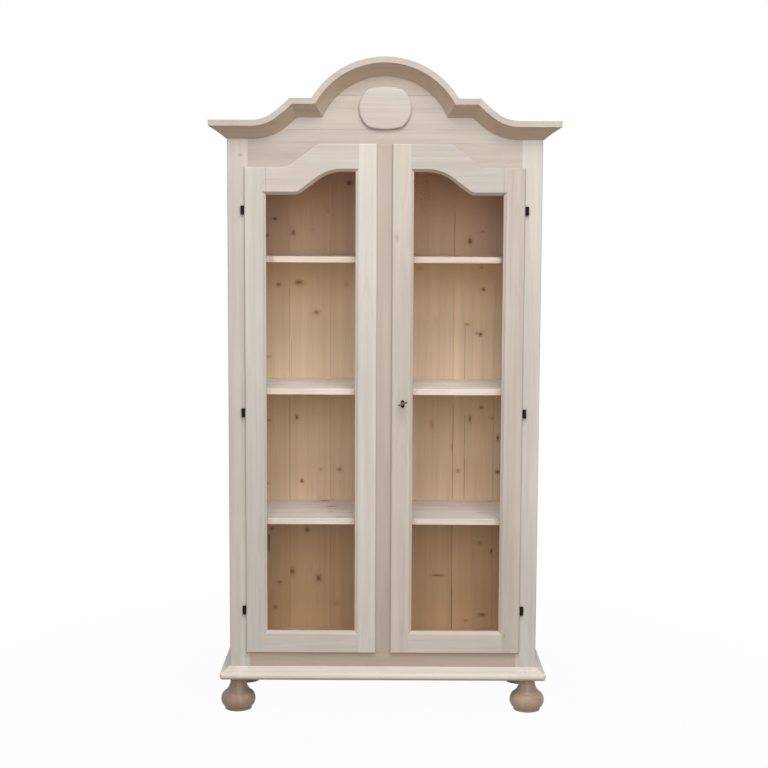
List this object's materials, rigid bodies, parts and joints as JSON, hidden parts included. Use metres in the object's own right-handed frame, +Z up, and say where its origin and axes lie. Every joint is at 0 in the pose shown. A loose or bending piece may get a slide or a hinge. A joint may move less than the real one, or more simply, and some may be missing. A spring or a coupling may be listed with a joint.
{
  "type": "display cabinet",
  "caption": "Glazed display cabinet with a pair of lipped doors, shelves, a broken-arch moulded cornice with an oval plaque, a moulded base and turned bun feet.",
  "frame": {"origin": "middle of the footprint on the floor", "axes": "+X to the right seen from the front, -Y towards the front, +Z up"},
  "size_m": [1.124, 0.454, 2.1409],
  "materials": {
    "limed_wood": "limed, waxed matt",
    "limed_wood_warm": "limed, waxed matt",
    "plain_pine": "oiled",
    "shelf_wood": "limed, waxed matt",
    "turned_wood": "limed, waxed matt",
    "clear_glass": "polished",
    "blackened_steel": "satin black",
    "plain_steel": "dull"
  },
  "bodies": {
    "cabinet": {"side_panel_left": "limed_wood", "side_panel_right": "limed_wood", "corner_post_left": "limed_wood", "corner_post_right": "limed_wood", "centre_mullion": "limed_wood", "bottom_rail": "limed_wood_warm", "frieze_rail": "limed_wood_warm", "frieze_board": "limed_wood_warm", "crest_board": "limed_wood_warm", "roof_board": "plain_pine", "floor_board": "plain_pine", "back_board_1": "plain_pine", "back_board_2": "plain_pine", "back_board_3": "plain_pine", "back_board_4": "plain_pine", "back_board_5": "plain_pine", "back_board_6": "plain_pine", "back_board_7": "plain_pine", "shelf_lower": "shelf_wood", "shelf_middle": "shelf_wood", "shelf_upper": "shelf_wood", "shelf_pins": "plain_steel", "base_rail_front": "limed_wood", "base_rail_left": "limed_wood", "base_rail_right": "limed_wood", "base_rail_rear": "plain_pine", "foot_front_left": "turned_wood", "foot_front_right": "turned_wood", "foot_rear_left": "turned_wood", "foot_rear_right": "turned_wood", "cornice_arch": "limed_wood_warm", "cornice_shoulder_left": "limed_wood_warm", "cornice_shoulder_right": "limed_wood_warm", "cornice_ramp_left": "limed_wood_warm", "cornice_ramp_right": "limed_wood_warm", "cornice_return_left": "limed_wood_warm", "cornice_return_right": "limed_wood_warm", "plaque": "limed_wood", "hinge_pins": "blackened_steel"},
    "left_door": {"left_hinge_stile": "limed_wood", "left_lock_stile": "limed_wood", "left_top_rail": "limed_wood", "left_bottom_rail": "limed_wood", "left_glass": "clear_glass", "left_glazing_beads": "limed_wood", "left_hinge_sockets": "blackened_steel", "left_bolt_guides": "plain_steel"},
    "right_door": {"right_hinge_stile": "limed_wood", "right_lock_stile": "limed_wood", "right_top_rail": "limed_wood", "right_bottom_rail": "limed_wood", "right_glass": "clear_glass", "right_glazing_beads": "limed_wood", "right_hinge_sockets": "blackened_steel", "lock_case": "plain_steel", "escutcheon": "blackened_steel"},
    "key": {"key": "plain_steel"},
    "lock_bolt": {"lock_bolt": "plain_steel"},
    "left_upper_bolt": {"left_upper_bolt": "plain_steel"},
    "left_lower_bolt": {"left_lower_bolt": "plain_steel"}
  },
  "joints": [
    {"name": "left_door_hinge", "type": "hinge", "parent": "cabinet", "child": "left_door", "pos_m": [-0.459, -0.1795, 1.00125], "axis": [0, 0, -1], "range_deg": [0, 180]},
    {"name": "right_door_hinge", "type": "hinge", "parent": "cabinet", "child": "right_door", "pos_m": [0.459, -0.1795, 1.00125], "axis": [0, 0, 1], "range_deg": [0, 180]},
    {"name": "key_turn", "type": "hinge", "parent": "right_door", "child": "key", "pos_m": [0.061, -0.173, 1.0355], "axis": [0, 1, 0], "range_deg": [0, 360]},
    {"name": "lock_bolt_slide", "type": "slide", "parent": "right_door", "child": "lock_bolt", "axis": [-1, 0, 0], "range_m": [0, 0.01]},
    {"name": "upper_bolt_slide", "type": "slide", "parent": "left_door", "child": "left_upper_bolt", "axis": [0, 0, 1], "range_m": [0, 0.014]},
    {"name": "lower_bolt_slide", "type": "slide", "parent": "left_door", "child": "left_lower_bolt", "axis": [0, 0, -1], "range_m": [0, 0.014]}
  ],
  "couplings": [
    {"joint": "lock_bolt_slide", "follows": "key_turn", "m_per_rad": 0.0015915}
  ]
}
